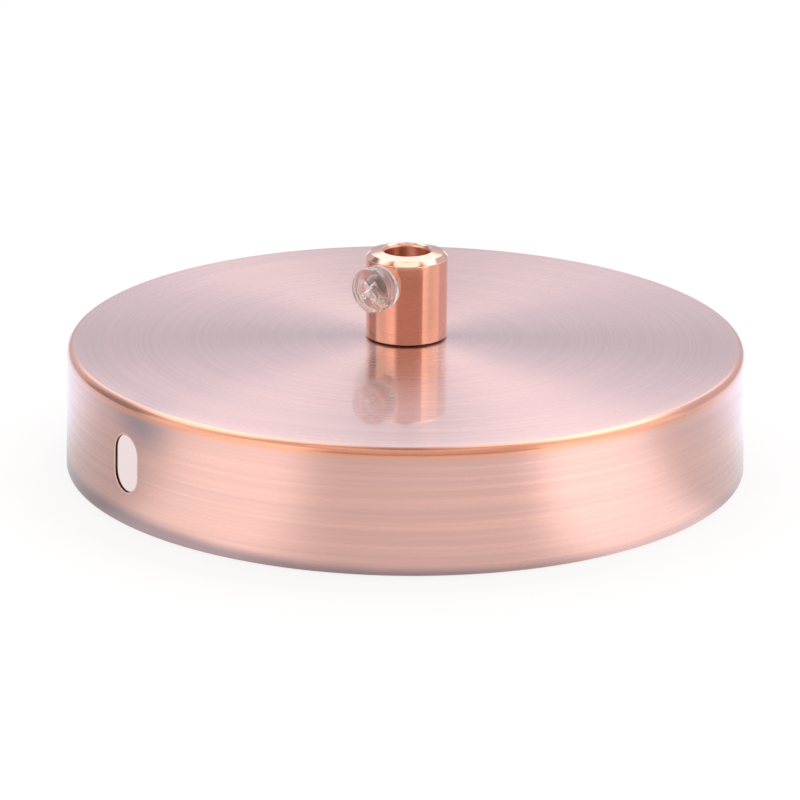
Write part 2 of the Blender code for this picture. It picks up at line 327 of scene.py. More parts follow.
def make_shell(outside_material, inside_material, slot_edge_shadow_material):
    section, wall_start, inner_wall_start = shell_section()
    bm = bmesh.new()
    rows = ring_grid(bm, section, SHELL_COLUMNS)
    outer_rows = slot_rows(wall_start, True)
    inner_rows = slot_rows(inner_wall_start, False)
    left_out = set()
    for azimuth in (0.0, math.pi):
        middle = round(azimuth / math.tau * SHELL_COLUMNS)
        for first_row, last_row in (outer_rows, inner_rows):
            for i in range(first_row, last_row):
                for j in range(middle - SLOT_PATCH_COLUMNS, middle + SLOT_PATCH_COLUMNS):
                    left_out.add((i, j % SHELL_COLUMNS))
    skin_grid(bm, rows, left_out)
    for azimuth in (0.0, math.pi):
        cut_slot(bm, rows, outer_rows, inner_rows, azimuth)
    shell = add_piece("shell", bm, outside_material, CANOPY_BODY, "canopy_shell")
    shell.data.materials.append(inside_material)
    shell.data.materials.append(slot_edge_shadow_material)
    for face in shell.data.polygons:
        middle = face.center
        outward = Vector((middle.x, middle.y, 0)).normalized()
        lean = face.normal.dot(outward)
        faces_in = lean < -0.5 or face.normal.z < -0.5
        distance = math.hypot(middle.x, middle.y)
        in_cup = distance < rim_radius - SHEET / 2 and middle.z < plate_height(distance) - SHEET / 2
        across_slot = abs(middle.y) < SLOT_WIDTH / 2 + SHEET and abs(middle.x) > plate_radius - 2 * SHEET
        up_slot = abs(middle.z - SLOT_MIDDLE) < SLOT_HEIGHT / 2 + SHEET
        # the slots' cut edges take the near-black material, which paints their shade
        if across_slot and up_slot and abs(lean) < 0.6:
            face.material_index = 2
        elif faces_in and in_cup:
            face.material_index = 1
    return shell


# Cord grip

LIP_ROUND = 0.9 * MM
LIP_TURN = 60.0
GRIP_TOP_RISE = 0.4 * MM
GRIP_EDGE_CHAMFER = 0.75 * MM
GRIP_CORNER_ROUND = 0.12 * MM
GRIP_FOOT_CHAMFER = 0.15 * MM
THREAD_MOUTH_CHAMFER = 0.5 * MM
SHANK_HOLE_RADIUS = 2.7 * MM
THREAD_TO_SCREW_WEB = 1.0 * MM
HOLE_MOUTH = 0.25 * MM
HOLE_OVERRUN = 2 * MM


def make_cutter(name, bm):
    mesh = bpy.data.meshes.new(name)
    bmesh.ops.recalc_face_normals(bm, faces=bm.faces)
    bm.to_mesh(mesh)
    bm.free()
    cutter = bpy.data.objects.new(name, mesh)
    bpy.context.scene.collection.objects.link(cutter)
    return cutter


def cut(target, cutter):
    """Cuts one object from another, keeps the result as the target's mesh and removes the cutter."""
    modifier = target.modifiers.new("cut", "BOOLEAN")
    modifier.operation = "DIFFERENCE"
    modifier.solver = "EXACT"
    modifier.object = cutter
    bpy.context.view_layer.update()
    graph = bpy.context.evaluated_depsgraph_get()
    mesh = bpy.data.meshes.new_from_object(target.evaluated_get(graph))
    target.modifiers.clear()
    target.data = mesh
    bpy.data.objects.remove(cutter)


def screw_matrix():
    """Turns a thing made along +Z onto the clamping screw's axis, counted from the grip's axis."""
    return Matrix.Translation((0, 0, screw_height)) @ screw_axis.to_track_quat("Z", "Y").to_matrix().to_4x4()


def rounded(corners, size, steps=5):
    """The open outline through these (radius, height) corners, with every inner corner rounded."""
    outline = [corners[0]]
    for before, corner, after in zip(corners, corners[1:], corners[2:]):
        middle = Vector(corner)
        back = (Vector(before) - middle).normalized()
        on = (Vector(after) - middle).normalized()
        setback = size * math.tan((math.pi - back.angle(on)) / 2)
        start = middle + back * setback
        end = middle + on * setback
        for share in spread(0, 1, steps + 1):
            outline.append(tuple(start.lerp(middle, share).lerp(middle.lerp(end, share), share)))
    return outline + [corners[-1]]


def grip_section():
    lip_foot = lip_top - LIP_ROUND * math.sin(math.radians(LIP_TURN))
    edge_top = lip_top - GRIP_TOP_RISE
    straight_start = edge_top - GRIP_EDGE_CHAMFER - GRIP_CORNER_ROUND
    thread_top = screw_height - SHANK_HOLE_RADIUS - THREAD_TO_SCREW_WEB
    cone_end = thread_top + (thread_hole_radius - bore_radius) * math.tan(math.radians(30))
    lip = arc(bore_radius + LIP_ROUND, lip_foot, LIP_ROUND, 180, 180 - LIP_TURN, 12)
    top = [
        lip[-2],
        lip[-1],
        (grip_radius - GRIP_EDGE_CHAMFER, edge_top),
        (grip_radius, edge_top - GRIP_EDGE_CHAMFER),
        (grip_radius, straight_start),
    ]
    section = lip[:-2] + rounded(top, GRIP_CORNER_ROUND)
    section += [(grip_radius, z) for z in spread(straight_start, grip_foot + GRIP_FOOT_CHAMFER, 24)[1:]]
    foot_middle = grip_foot + GRIP_FOOT_CHAMFER
    section += arc(grip_radius - GRIP_FOOT_CHAMFER, foot_middle, GRIP_FOOT_CHAMFER, 0, -90, 4)[1:]
    section += [
        (thread_hole_radius + THREAD_MOUTH_CHAMFER, grip_foot),
        (thread_hole_radius, grip_foot + THREAD_MOUTH_CHAMFER),
        (thread_hole_radius, thread_top),
    ]
    section += [(bore_radius, z) for z in spread(cone_end, lip_foot, 16)[:-1]]
    return section


def screw_hole():
    """The hole for the screw's shank, from the grip's axis outwards, with a countersunk mouth."""
    outline = [
        (SHANK_HOLE_RADIUS, 0),
        (SHANK_HOLE_RADIUS, grip_radius - HOLE_MOUTH),
        (SHANK_HOLE_RADIUS + HOLE_MOUTH + HOLE_OVERRUN, grip_radius + HOLE_OVERRUN),
    ]
    hole = bmesh.new()
    skin_turned(hole, ring_grid(hole, outline, HOLE_COLUMNS))
    bmesh.ops.transform(hole, matrix=screw_matrix(), verts=hole.verts)
    return hole


def make_grip(material):
    bm = bmesh.new()
    skin_grid(bm, ring_grid(bm, grip_section(), GRIP_COLUMNS))
    grip = add_piece("cord_grip", bm, material, CANOPY_BODY, "cord_grip_body")
    cut(grip, make_cutter("screw_hole", screw_hole()))
    grip.data.shade_smooth()
    grip.data.set_sharp_from_angle(angle=math.radians(30))
    set_turned_normals(grip)
    return grip


def set_turned_normals(piece):
    """Gives the points of the grip's plain barrel and bore the normals of true cylinders."""
    mesh = piece.data
    normals = [Vector(corner.vector) for corner in mesh.corner_normals]
    top = lip_top - GRIP_TOP_RISE - GRIP_EDGE_CHAMFER - GRIP_CORNER_ROUND
    for face in mesh.polygons:
        outward = Vector((face.center.x, face.center.y, 0)).normalized()
        lean = face.normal.dot(outward)
        distance = math.hypot(face.center.x, face.center.y)
        on_barrel = lean > 0.99 and distance > grip_radius - 0.05 * MM and face.center.z < top
        in_bore = lean < -0.98 and distance < bore_radius + 0.02 * MM
        if not (on_barrel or in_bore):
            continue
        for loop in face.loop_indices:
            co = mesh.vertices[mesh.loops[loop].vertex_index].co
            radial = Vector((co.x, co.y, 0)).normalized()
            normals[loop] = radial if on_barrel else -radial
    mesh.normals_split_custom_set(normals)


# Clamping screw

HEAD_RADIUS = 4.0 * MM
HEAD_THICKNESS = 3.4 * MM
HEAD_EDGE_ROUND = 0.4 * MM
HEAD_GROOVE_WIDTH = 0.5 * MM
HEAD_GROOVE_DEPTH = 0.25 * MM
HEAD_GROOVE_FROM_FACE = 1.8 * MM
HEAD_GROOVE_EDGE = 0.35  # radians of the groove's half turn that are left off at each side
SHANK_RADIUS = 2.4 * MM
SCREW_REACH = 2.0 * MM
SCREW_TIP_CHAMFER = 0.5 * MM
SEAT_GAP = 0.3 * MM
SCREW_PITCH = 0.8 * MM
RECESS_LENGTH = 4.6 * MM
RECESS_FLOOR_LENGTH = 1.7 * MM
RECESS_WIDTH = 1.15 * MM
RECESS_FLOOR_WIDTH = 0.8 * MM
RECESS_DEPTH = 1.9 * MM


def thread_profile(phase):
    """Height of a thread's flank from 0 at its root to 1 at its crest, for a phase in turns."""
    rise = 1 - abs((phase % 1) * 2 - 1)
    return min(1, max(0, (rise - 0.12) / 0.68))


def threaded_radius(root_depth, pitch, start, end):
    """A radius function that winds a thread between two heights and fades it out at both ends."""

    def radius_of(radius, height, angle):
        if not start < height < end:
            return radius
        fade = min(1, (height - start) / pitch, (end - height) / pitch)
        return radius - root_depth * fade * (1 - thread_profile(height / pitch - angle / math.tau))

    return radius_of


def make_screw(material):
    head_back = grip_radius + SEAT_GAP
    head_face = head_back + HEAD_THICKNESS
    groove = head_face - HEAD_GROOVE_FROM_FACE
    half = HEAD_GROOVE_WIDTH / 2
    groove_turns = spread(HEAD_GROOVE_EDGE, math.pi - HEAD_GROOVE_EDGE, 7)
    tip = bore_radius - SCREW_REACH
    back_round = HEAD_EDGE_ROUND / 2
    centre = 0.02 * MM
    section = [(centre, head_face)]
    section += arc(HEAD_RADIUS - HEAD_EDGE_ROUND, head_face - HEAD_EDGE_ROUND, HEAD_EDGE_ROUND, 90, 0, 8)
    section += [(HEAD_RADIUS, groove + half)]
    groove_steps = [(HEAD_GROOVE_DEPTH * math.sin(a), half * math.cos(a)) for a in groove_turns]
    section += [(HEAD_RADIUS - depth, groove + rise) for depth, rise in groove_steps]
    section += [(HEAD_RADIUS, groove - half)]
    section += arc(HEAD_RADIUS - back_round, head_back + back_round, back_round, 0, -90, 4)
    section += [(SHANK_RADIUS + 0.1 * MM, head_back)]
    shank_rows = 8 * round((head_back - tip - SCREW_TIP_CHAMFER) / SCREW_PITCH)
    section += [(SHANK_RADIUS, s) for s in spread(head_back - 0.1 * MM, tip + SCREW_TIP_CHAMFER, shank_rows)]
    section += [(SHANK_RADIUS - SCREW_TIP_CHAMFER, tip), (centre, tip)]
    radius_of = threaded_radius(0.32 * MM, SCREW_PITCH, tip + 0.2 * MM, head_back - 0.2 * MM)
    bm = bmesh.new()
    skin_turned(bm, ring_grid(bm, section, SMALL_COLUMNS, radius_of))
    bmesh.ops.transform(bm, matrix=screw_matrix(), verts=bm.verts)
    screw = add_piece("clamping_screw_body", bm, material, SCREW_BODY, "grip_screw")
    for quarter in (45, -45):
        cut(screw, make_cutter("recess_blade", recess_blade(head_face, math.radians(quarter))))
    screw.data.shade_smooth()
    screw.data.set_sharp_from_angle(angle=math.radians(32))
    return screw


def recess_blade(head_face, angle):
    """One tapered blade of the cross recess."""
    overrun = 1.0 * MM
    taper = overrun / RECESS_DEPTH
    top_length = RECESS_LENGTH + (RECESS_LENGTH - RECESS_FLOOR_LENGTH) * taper
    top_width = RECESS_WIDTH + (RECESS_WIDTH - RECESS_FLOOR_WIDTH) * taper
    levels = [
        (head_face + overrun, top_length, top_width),
        (head_face - RECESS_DEPTH, RECESS_FLOOR_LENGTH, RECESS_FLOOR_WIDTH),
    ]
    bm = bmesh.new()
    rings = []
    for height, length, width in levels:
        corners = [(length, width), (-length, width), (-length, -width), (length, -width)]
        rings.append([bm.verts.new((x / 2, y / 2, height)) for x, y in corners])
    upper, lower = rings
    bm.faces.new(upper)
    bm.faces.new(lower)
    for i in range(4):
        j = (i + 1) % 4
        bm.faces.new((upper[i], lower[i], lower[j], upper[j]))
    bmesh.ops.transform(bm, matrix=screw_matrix() @ Matrix.Rotation(angle, 4, "Z"), verts=bm.verts)
    return bm


# Nipple (the washer and the nut keep their CAD meshes, and get their material in main)


def make_nipple(material):
    chamfer = 0.4 * MM
    low, high = nipple_low.z, nipple_high.z
    rows_per_pitch = 8
    count = round((high - low - 2 * chamfer) / THREAD_PITCH) * rows_per_pitch
    section = [(bore_radius, high), (thread_radius - chamfer, high)]
    section += [(thread_radius, z) for z in spread(high - chamfer, low + chamfer, count)]
    section += [(thread_radius - chamfer, low), (bore_radius, low)]
    bm = bmesh.new()
    radius_of = threaded_radius(THREAD_DEPTH, THREAD_PITCH, low + 0.2 * MM, high - 0.2 * MM)
    skin_grid(bm, ring_grid(bm, section, SMALL_COLUMNS, radius_of))
    nipple = add_piece("nipple", bm, material, CANOPY_BODY, "threaded_nipple")
    return nipple


# Materials


def new_material(name):
    material = bpy.data.materials.new(name)
    material.use_nodes = True
    return material, material.node_tree, material.node_tree.nodes["Principled BSDF"]


def math_node(tree, operation, first, second=None):
    node = tree.nodes.new("ShaderNodeMath")
    node.operation = operation
    for socket, value in zip(node.inputs, (first, second)):
        if value is None:
            continue
        if isinstance(value, (int, float)):
            socket.default_value = value
        else:
            tree.links.new(value, socket)
    return node.outputs[0]


def plus(tree, first, second):
    return math_node(tree, "ADD", first, second)


def minus(tree, first, second):
    return math_node(tree, "SUBTRACT", first, second)


def times(tree, first, second):
    return math_node(tree, "MULTIPLY", first, second)


def ramp(tree, value, low, high, to_low=0.0, to_high=1.0):
    """Maps value from low..high to to_low..to_high with a smooth step, held at both ends."""
    node = tree.nodes.new("ShaderNodeMapRange")
    node.interpolation_type = "SMOOTHSTEP"
    tree.links.new(value, node.inputs["Value"])
    node.inputs["From Min"].default_value = low
    node.inputs["From Max"].default_value = high
    node.inputs["To Min"].default_value = to_low
    node.inputs["To Max"].default_value = to_high
    return node.outputs["Result"]


def mix_colour(tree, share, first, second):
    node = tree.nodes.new("ShaderNodeMix")
    node.data_type = "RGBA"
    for socket, value in ((node.inputs[0], share), (node.inputs[6], first), (node.inputs[7], second)):
        if isinstance(value, tuple):
            socket.default_value = (*value, 1.0)
        elif isinstance(value, (int, float)):
            socket.default_value = value
        else:
            tree.links.new(value, socket)
    return node.outputs[2]


def noise(tree, vector, scale, detail=2.0, roughness=0.5):
    node = tree.nodes.new("ShaderNodeTexNoise")
    node.inputs["Scale"].default_value = scale
    node.inputs["Detail"].default_value = detail
    node.inputs["Roughness"].default_value = roughness
    tree.links.new(vector, node.inputs["Vector"])
    return node.outputs["Fac"]


def object_coordinates(tree):
    return tree.nodes.new("ShaderNodeTexCoord").outputs["Object"]


def separate(tree, vector):
    split = tree.nodes.new("ShaderNodeSeparateXYZ")
    tree.links.new(vector, split.inputs[0])
    return split.outputs


def axis_distance(tree, x, y):
    """Length of the flat vector (x, y)."""
    return math_node(tree, "SQRT", plus(tree, times(tree, x, x), times(tree, y, y)))


def brush_vector(tree, x, y, radius, along, across_scale, turn_scale):
    """A vector for noise drawn out round the axis: fine across the brushing, long along it."""
    combine = tree.nodes.new("ShaderNodeCombineXYZ")
    tree.links.new(times(tree, along, across_scale), combine.inputs[0])
    for side, socket in ((x, combine.inputs[1]), (y, combine.inputs[2])):
        tree.links.new(times(tree, math_node(tree, "DIVIDE", side, radius), turn_scale), socket)
    return combine.outputs[0]


def bump(tree, height, strength, distance):
    node = tree.nodes.new("ShaderNodeBump")
    node.inputs["Strength"].default_value = strength
    node.inputs["Distance"].default_value = distance
    tree.links.new(height, node.inputs["Height"])
    return node.outputs["Normal"]


def brushed_copper():
    """Copper plate, darkened and then brushed in circles, under clear lacquer."""
    material, tree, shader = new_material("brushed_copper")
    coordinates = object_coordinates(tree)
    x, y, z = separate(tree, coordinates)
    radius = axis_distance(tree, x, y)
    along = minus(tree, radius, z)
    fine = noise(tree, brush_vector(tree, x, y, radius, along, 2600, 1.0), 1.0, 0.0, 0.5)
    medium = noise(tree, brush_vector(tree, x, y, radius, along, 1300, 0.8), 1.0, 0.0, 0.5)
    broad = noise(tree, brush_vector(tree, x, y, radius, along, 260, 0.6), 1.0, 1.0, 0.5)
    wander = noise(tree, brush_vector(tree, x, y, radius, along, 100, 2.2), 1.0, 2.0, 0.5)
    lines = plus(tree, times(tree, fine, 0.5), times(tree, medium, 0.5))
    streaks = plus(tree, times(tree, lines, 0.7), times(tree, broad, 0.3))
    colour = patina_colour(tree, streaks, radius)
    colour = mix_colour(tree, tarnish(tree, coordinates, broad), colour, (0.38, 0.29, 0.33))
    colour = mix_colour(tree, rim_band(tree, x, y, z, wander), colour, (0.34, 0.235, 0.245))
    colour = worn_edges_and_painted_light(tree, x, y, z, radius, colour)

    tree.links.new(colour, shader.inputs["Base Color"])
    tree.links.new(ramp(tree, medium, 0.3, 0.7, 0.27, 0.33), shader.inputs["Roughness"])
    shader.inputs["Metallic"].default_value = 1.0
    shader.inputs["Anisotropic"].default_value = 0.9
    shader.inputs["Anisotropic Rotation"].default_value = 0.25
    tangent = tree.nodes.new("ShaderNodeTangent")
    tangent.direction_type = "RADIAL"
    tangent.axis = "Z"
    tree.links.new(tangent.outputs[0], shader.inputs["Tangent"])
    tree.links.new(bump(tree, broad, 0.15, 0.00002), shader.inputs["Normal"])
    shader.inputs["Coat Weight"].default_value = 1.0
    shader.inputs["Coat Roughness"].default_value = 0.04
    shader.inputs["Coat IOR"].default_value = 1.5
    return material


def patina_colour(tree, streaks, radius):
    """Copper with patina left between the brush marks, and the plate painted darker than the wall."""
    copper = (0.84, 0.48, 0.40)
    patina = (0.46, 0.32, 0.34)
    between_marks = ramp(tree, streaks, 0.32, 0.68, 0.11, 0.33)
    # the plate is painted darker than the wall by a fixed share
    on_plate = ramp(tree, radius, plate_radius - 0.3 * MM, plate_radius + 0.1 * MM, 0.26, 0.0)
    return mix_colour(tree, plus(tree, between_marks, on_plate), copper, patina)


def rim_band(tree, x, y, z, wander):
    """Share of a dark band along the rim, which reaches higher on the side of -X."""
    towards = plus(tree, times(tree, x, -0.985), times(tree, y, 0.176))
    reach = ramp(tree, towards, 0.68 * rim_radius, 0.95 * rim_radius, 0.0, 1.2 * MM)
    reach = plus(tree, reach, times(tree, minus(tree, wander, 0.5), 2 * MM))
    band = ramp(tree, minus(tree, z, reach), 0.2 * MM, 2.5 * MM, 1.0, 0.0)
    strength = ramp(tree, towards, -0.2 * rim_radius, 0.5 * rim_radius, 0.55, 1.0)
    return times(tree, band, strength)


def worn_edges_and_painted_light(tree, x, y, z, radius, colour):
    """Copper rubbed bare on the shoulder and round the slots, with painted light on both: the shoulder's
    orange band also tints its highlight golden and stands in for the dark reflected line under it, and the
    pale ring round the slots is a painted highlight on their rounded edges.
    """
    shoulder_down = ramp(tree, z, wall_top - 0.9 * MM, wall_top + 0.1 * MM)
    shoulder_out = ramp(tree, radius, plate_radius - 0.2 * MM, plate_radius + 0.5 * MM)
    # partly painted: the band tints the shoulder's highlight and paints the dark reflected line under it
    colour = mix_colour(tree, times(tree, shoulder_down, shoulder_out), colour, (0.82, 0.37, 0.24))
    # a pale ring round each slot: painted highlight on the slot's rounded edge, where the copper is also
    # rubbed bare
    slot_edge_painted_highlight = ramp(tree, slot_distance(tree, x, y, z), 0.15 * MM, 0.5 * MM, 1.0, 0.0)
    return mix_colour(tree, slot_edge_painted_highlight, colour, (0.98, 0.60, 0.46))


def tarnish(tree, coordinates, broad):
    """Share of a dark smudge under the shoulder, a little to one side of a slot."""
    place = (-wall_radius, -4.5 * MM, 18.9 * MM)
    offset = tree.nodes.new("ShaderNodeVectorMath")
    offset.operation = "SUBTRACT"
    tree.links.new(coordinates, offset.inputs[0])
    offset.inputs[1].default_value = place
    stretch = tree.nodes.new("ShaderNodeVectorMath")
    stretch.operation = "MULTIPLY"
    tree.links.new(offset.outputs[0], stretch.inputs[0])
    stretch.inputs[1].default_value = (1.0, 1.0, 2.0)
    distance = tree.nodes.new("ShaderNodeVectorMath")
    distance.operation = "LENGTH"
    tree.links.new(stretch.outputs[0], distance.inputs[0])
    frayed = plus(tree, distance.outputs["Value"], times(tree, broad, 0.006))
    return ramp(tree, frayed, 0.003, 0.014, 0.85, 0.0)


def slot_distance(tree, x, y, z):
    """Distance from the outline of a wall slot, measured on the wall, and large away from both walls."""
    straight = (SLOT_HEIGHT - SLOT_WIDTH) / 2
    off_middle = math_node(tree, "ABSOLUTE", minus(tree, z, SLOT_MIDDLE))
    beyond = math_node(tree, "MAXIMUM", minus(tree, off_middle, straight), 0.0)
    from_outline = minus(tree, axis_distance(tree, beyond, y), SLOT_WIDTH / 2)
    inland = math_node(tree, "MAXIMUM", minus(tree, 50 * MM, math_node(tree, "ABSOLUTE", x)), 0.0)
    return plus(tree, from_outline, inland)


def slot_edge_painted_shadow():
    """The bare edge of the sheet inside the slots, coloured near black as painted shadow: the shade that
    falls on these thin edges is painted into them.
    """
    material, tree, shader = new_material("slot_edge_painted_shadow")
    grain = noise(tree, object_coordinates(tree), 1500.0, 2.0, 0.5)
    colour = mix_colour(tree, grain, (0.03, 0.018, 0.016), (0.07, 0.04, 0.035))
    tree.links.new(colour, shader.inputs["Base Color"])
    tree.links.new(ramp(tree, grain, 0.3, 0.7, 0.4, 0.55), shader.inputs["Roughness"])
    shader.inputs["Metallic"].default_value = 0.3
    return material


def inner_copper():
    """The inside of the cup: plated but neither brushed nor polished."""
    material, tree, shader = new_material("inner_copper")
    coordinates = object_coordinates(tree)
    grain = noise(tree, coordinates, 900.0, 4.0, 0.6)
    cloud = noise(tree, coordinates, 60.0, 3.0, 0.5)
    colour = mix_colour(tree, cloud, (0.72, 0.44, 0.35), (0.60, 0.40, 0.34))
    tree.links.new(colour, shader.inputs["Base Color"])
    tree.links.new(ramp(tree, grain, 0.3, 0.7, 0.38, 0.5), shader.inputs["Roughness"])
    shader.inputs["Metallic"].default_value = 1.0
    tree.links.new(bump(tree, grain, 0.2, 0.00003), shader.inputs["Normal"])
    return material


def polished_copper():
    """Turned and polished copper plate, with faint turning marks, and left satin inside the bore."""
    material, tree, shader = new_material("polished_copper")
    coordinates = object_coordinates(tree)
    x, y, z = separate(tree, coordinates)
    radius = axis_distance(tree, x, y)
    turning = noise(tree, brush_vector(tree, x, y, radius, z, 9000, 0.6), 1.0, 2.0, 0.5)
    cloud = noise(tree, coordinates, 250.0, 2.0, 0.5)
    colour = mix_colour(tree, cloud, (0.96, 0.55, 0.41), (0.95, 0.52, 0.38))
    tree.links.new(colour, shader.inputs["Base Color"])
    polished_roughness = ramp(tree, turning, 0.3, 0.7, 0.04, 0.09)
    in_bore = ramp(tree, radius, bore_radius + 0.05 * MM, bore_radius + 0.4 * MM, 0.3, 0.0)
    roughness = math_node(tree, "MAXIMUM", polished_roughness, in_bore)
    tree.links.new(roughness, shader.inputs["Roughness"])
    shader.inputs["Metallic"].default_value = 1.0
    tree.links.new(bump(tree, turning, 0.05, 0.00001), shader.inputs["Normal"])
    return material


def clear_plastic():
    """Clear moulded plastic, a little wavy inside."""
    material, tree, shader = new_material("clear_plastic")
    waves = noise(tree, object_coordinates(tree), 700.0, 2.0, 0.5)
    colour = mix_colour(tree, waves, (1.0, 0.985, 0.985), (1.0, 0.96, 0.965))
    tree.links.new(colour, shader.inputs["Base Color"])
    shader.inputs["Roughness"].default_value = 0.09
    shader.inputs["Transmission Weight"].default_value = 0.87
    shader.inputs["IOR"].default_value = 1.49
    tree.links.new(bump(tree, waves, 0.2, 0.00005), shader.inputs["Normal"])
    return material


def zinc_steel():
    """Bright zinc plate on small steel parts."""
    material, tree, shader = new_material("zinc_steel")
    spangle = noise(tree, object_coordinates(tree), 500.0, 3.0, 0.5)
    colour = mix_colour(tree, spangle, (0.62, 0.63, 0.66), (0.76, 0.76, 0.77))
    tree.links.new(colour, shader.inputs["Base Color"])
    tree.links.new(ramp(tree, spangle, 0.3, 0.7, 0.26, 0.38), shader.inputs["Roughness"])
    shader.inputs["Metallic"].default_value = 1.0
    tree.links.new(bump(tree, spangle, 0.1, 0.00003), shader.inputs["Normal"])
    return material


# Stage, light and camera

CAMERA_AZIMUTH = math.radians(-38.1)  # round +Z from -Y, where the photograph was taken from
CAMERA_DISTANCE = 682.0 * MM  # from the canopy's axis
CAMERA_HEIGHT = 237.4 * MM
CAMERA_PITCH = math.radians(18.4)  # down from the horizon
CAMERA_YAW = math.radians(-0.0845)
CAMERA_ROLL = math.radians(-0.527)
CAMERA_LENS = 181.5  # in millimetres, on a sensor 36 mm wide


def make_camera():
    heading = Matrix.Rotation(CAMERA_AZIMUTH, 3, "Z")
    level = math.cos(CAMERA_PITCH)
    forward = Vector((math.sin(CAMERA_YAW) * level, math.cos(CAMERA_YAW) * level, -math.sin(CAMERA_PITCH)))
    right = Vector((math.cos(CAMERA_YAW), -math.sin(CAMERA_YAW), 0))
    down = forward.cross(right)
    rolled_right = math.cos(CAMERA_ROLL) * right + math.sin(CAMERA_ROLL) * down
    rolled_down = -math.sin(CAMERA_ROLL) * right + math.cos(CAMERA_ROLL) * down
    axes = Matrix((heading @ rolled_right, -(heading @ rolled_down), -(heading @ forward))).transposed()
    data = bpy.data.cameras.new("camera")
    data.lens = CAMERA_LENS
    data.sensor_width = 36.0
    data.clip_start = 0.01
    data.clip_end = 20.0
    camera = bpy.data.objects.new("camera", data)
    bpy.context.scene.collection.objects.link(camera)
    place = heading @ Vector((0, -CAMERA_DISTANCE, 0)) + Vector((0, 0, CAMERA_HEIGHT))
    camera.matrix_world = Matrix.Translation(place) @ axes.to_4x4()
    bpy.context.scene.camera = camera


# The studio round the canopy, as patches of light. Azimuths are counted from the camera's, to the right, and
# elevations from the horizon, both in degrees. A patch fades out over its softness: at its first azimuth, at
# its last one, and above and below. The last patch lights the inside of the cup when the floor is hidden.
STUDIO = (
    # name, azimuths, elevations, softness, colour, strength
    ("right_softbox", (46, 104), (-20, 38), (4, 4, 12), (0.97, 1.0, 1.0), 1.2),
    ("right_softbox_foot", (44, 98), (-20, 4), (8, 12, 10), (1.0, 1.0, 1.0), 0.4),
    ("right_strip", (38, 66), (8, 26), (8, 8, 8), (1.0, 1.0, 1.0), 0.12),
    ("left_softbox", (-96, -31), (-20, 38), (8, 16, 12), (0.97, 1.0, 1.0), 1.15),
    ("left_softbox_foot", (-84, -30), (-20, 4), (20, 16, 10), (1.0, 1.0, 1.0), 0.4),
    ("front_low", (-31, 46), (-20, 18), (16, 4, 16), (1.0, 0.88, 0.82), 0.2),
    ("front_room", (-60, 60), (18, 50), (30, 30, 16), (1.0, 0.76, 0.66), 0.95),
    ("backdrop_low", (132, 228), (-20, 13), (3, 3, 8), (0.84, 0.92, 1.08), 0.64),
    ("backdrop_high", (132, 228), (13, 48), (3, 3, 8), (0.92, 0.95, 1.04), 0.74),
    ("backdrop_bright", (156, 204), (22, 46), (8, 8, 8), (0.94, 1.0, 1.12), 0.95),
    ("gap_right", (104, 132), (-20, 48), (3, 3, 12), (0.84, 0.95, 1.25), 0.75),
    ("gap_left", (-132, -96), (-20, 48), (3, 8, 12), (0.85, 1.0, 1.3), 0.3),
    ("ceiling", (-180, 180), (48, 80), (0, 0, 16), (1.0, 1.0, 1.0), 0.4),
    ("ceiling_strip", (-72, 72), (64, 78), (16, 16, 6), (1.0, 1.0, 1.0), 1.3),
    ("ceiling_right", (84, 172), (42, 67), (40, 12, 12), (1.0, 1.0, 0.97), 2.3),
    ("ceiling_left", (-172, -88), (42, 67), (12, 40, 12), (1.0, 1.0, 0.97), 1.75),
    ("below", (-180, 180), (-100, -20), (0, 0, 12), (1.0, 1.0, 1.0), 0.8),
)


def window(tree, value, low, high, low_softness, high_softness):
    """1 between low and high, 0 outside, and a smooth step at each end."""
    rise = ramp(tree, value, low - low_softness / 2, low + low_softness / 2)
    fall = ramp(tree, value, high - high_softness / 2, high + high_softness / 2, 1.0, 0.0)
    return times(tree, rise, fall)


def azimuth_of(tree, x, y):
    """Degrees round +Z from -Y."""
    return math_node(tree, "DEGREES", math_node(tree, "ARCTAN2", x, times(tree, y, -1.0)))


def studio_light(tree):
    """Colour of the studio in each direction."""
    x, y, z = separate(tree, tree.nodes.new("ShaderNodeTexCoord").outputs["Generated"])
    elevation = math_node(tree, "DEGREES", math_node(tree, "ARCSINE", z))
    from_camera = minus(tree, azimuth_of(tree, x, y), math.degrees(CAMERA_AZIMUTH))
    total = None
    for name, azimuths, elevations, softness, colour, strength in STUDIO:
        share = window(tree, elevation, *elevations, softness[2], softness[2])
        if azimuths[1] - azimuths[0] < 360:
            middle = sum(azimuths) / 2
            half = (azimuths[1] - azimuths[0]) / 2
            wrap = tree.nodes.new("ShaderNodeMath")
            wrap.operation = "WRAP"
            tree.links.new(minus(tree, from_camera, middle), wrap.inputs[0])
            wrap.inputs[1].default_value = 180.0
            wrap.inputs[2].default_value = -180.0
            beside = window(tree, wrap.outputs[0], -half, half, softness[0], softness[1])
            share = times(tree, share, beside)
        scale = tree.nodes.new("ShaderNodeVectorMath")
        scale.name = name
        scale.operation = "SCALE"
        scale.inputs[0].default_value = [strength * c for c in colour]
        tree.links.new(share, scale.inputs["Scale"])
        if total is None:
            total = scale.outputs[0]
            continue
        add = tree.nodes.new("ShaderNodeVectorMath")
        tree.links.new(total, add.inputs[0])
        tree.links.new(scale.outputs[0], add.inputs[1])
        total = add.outputs[0]
    return total


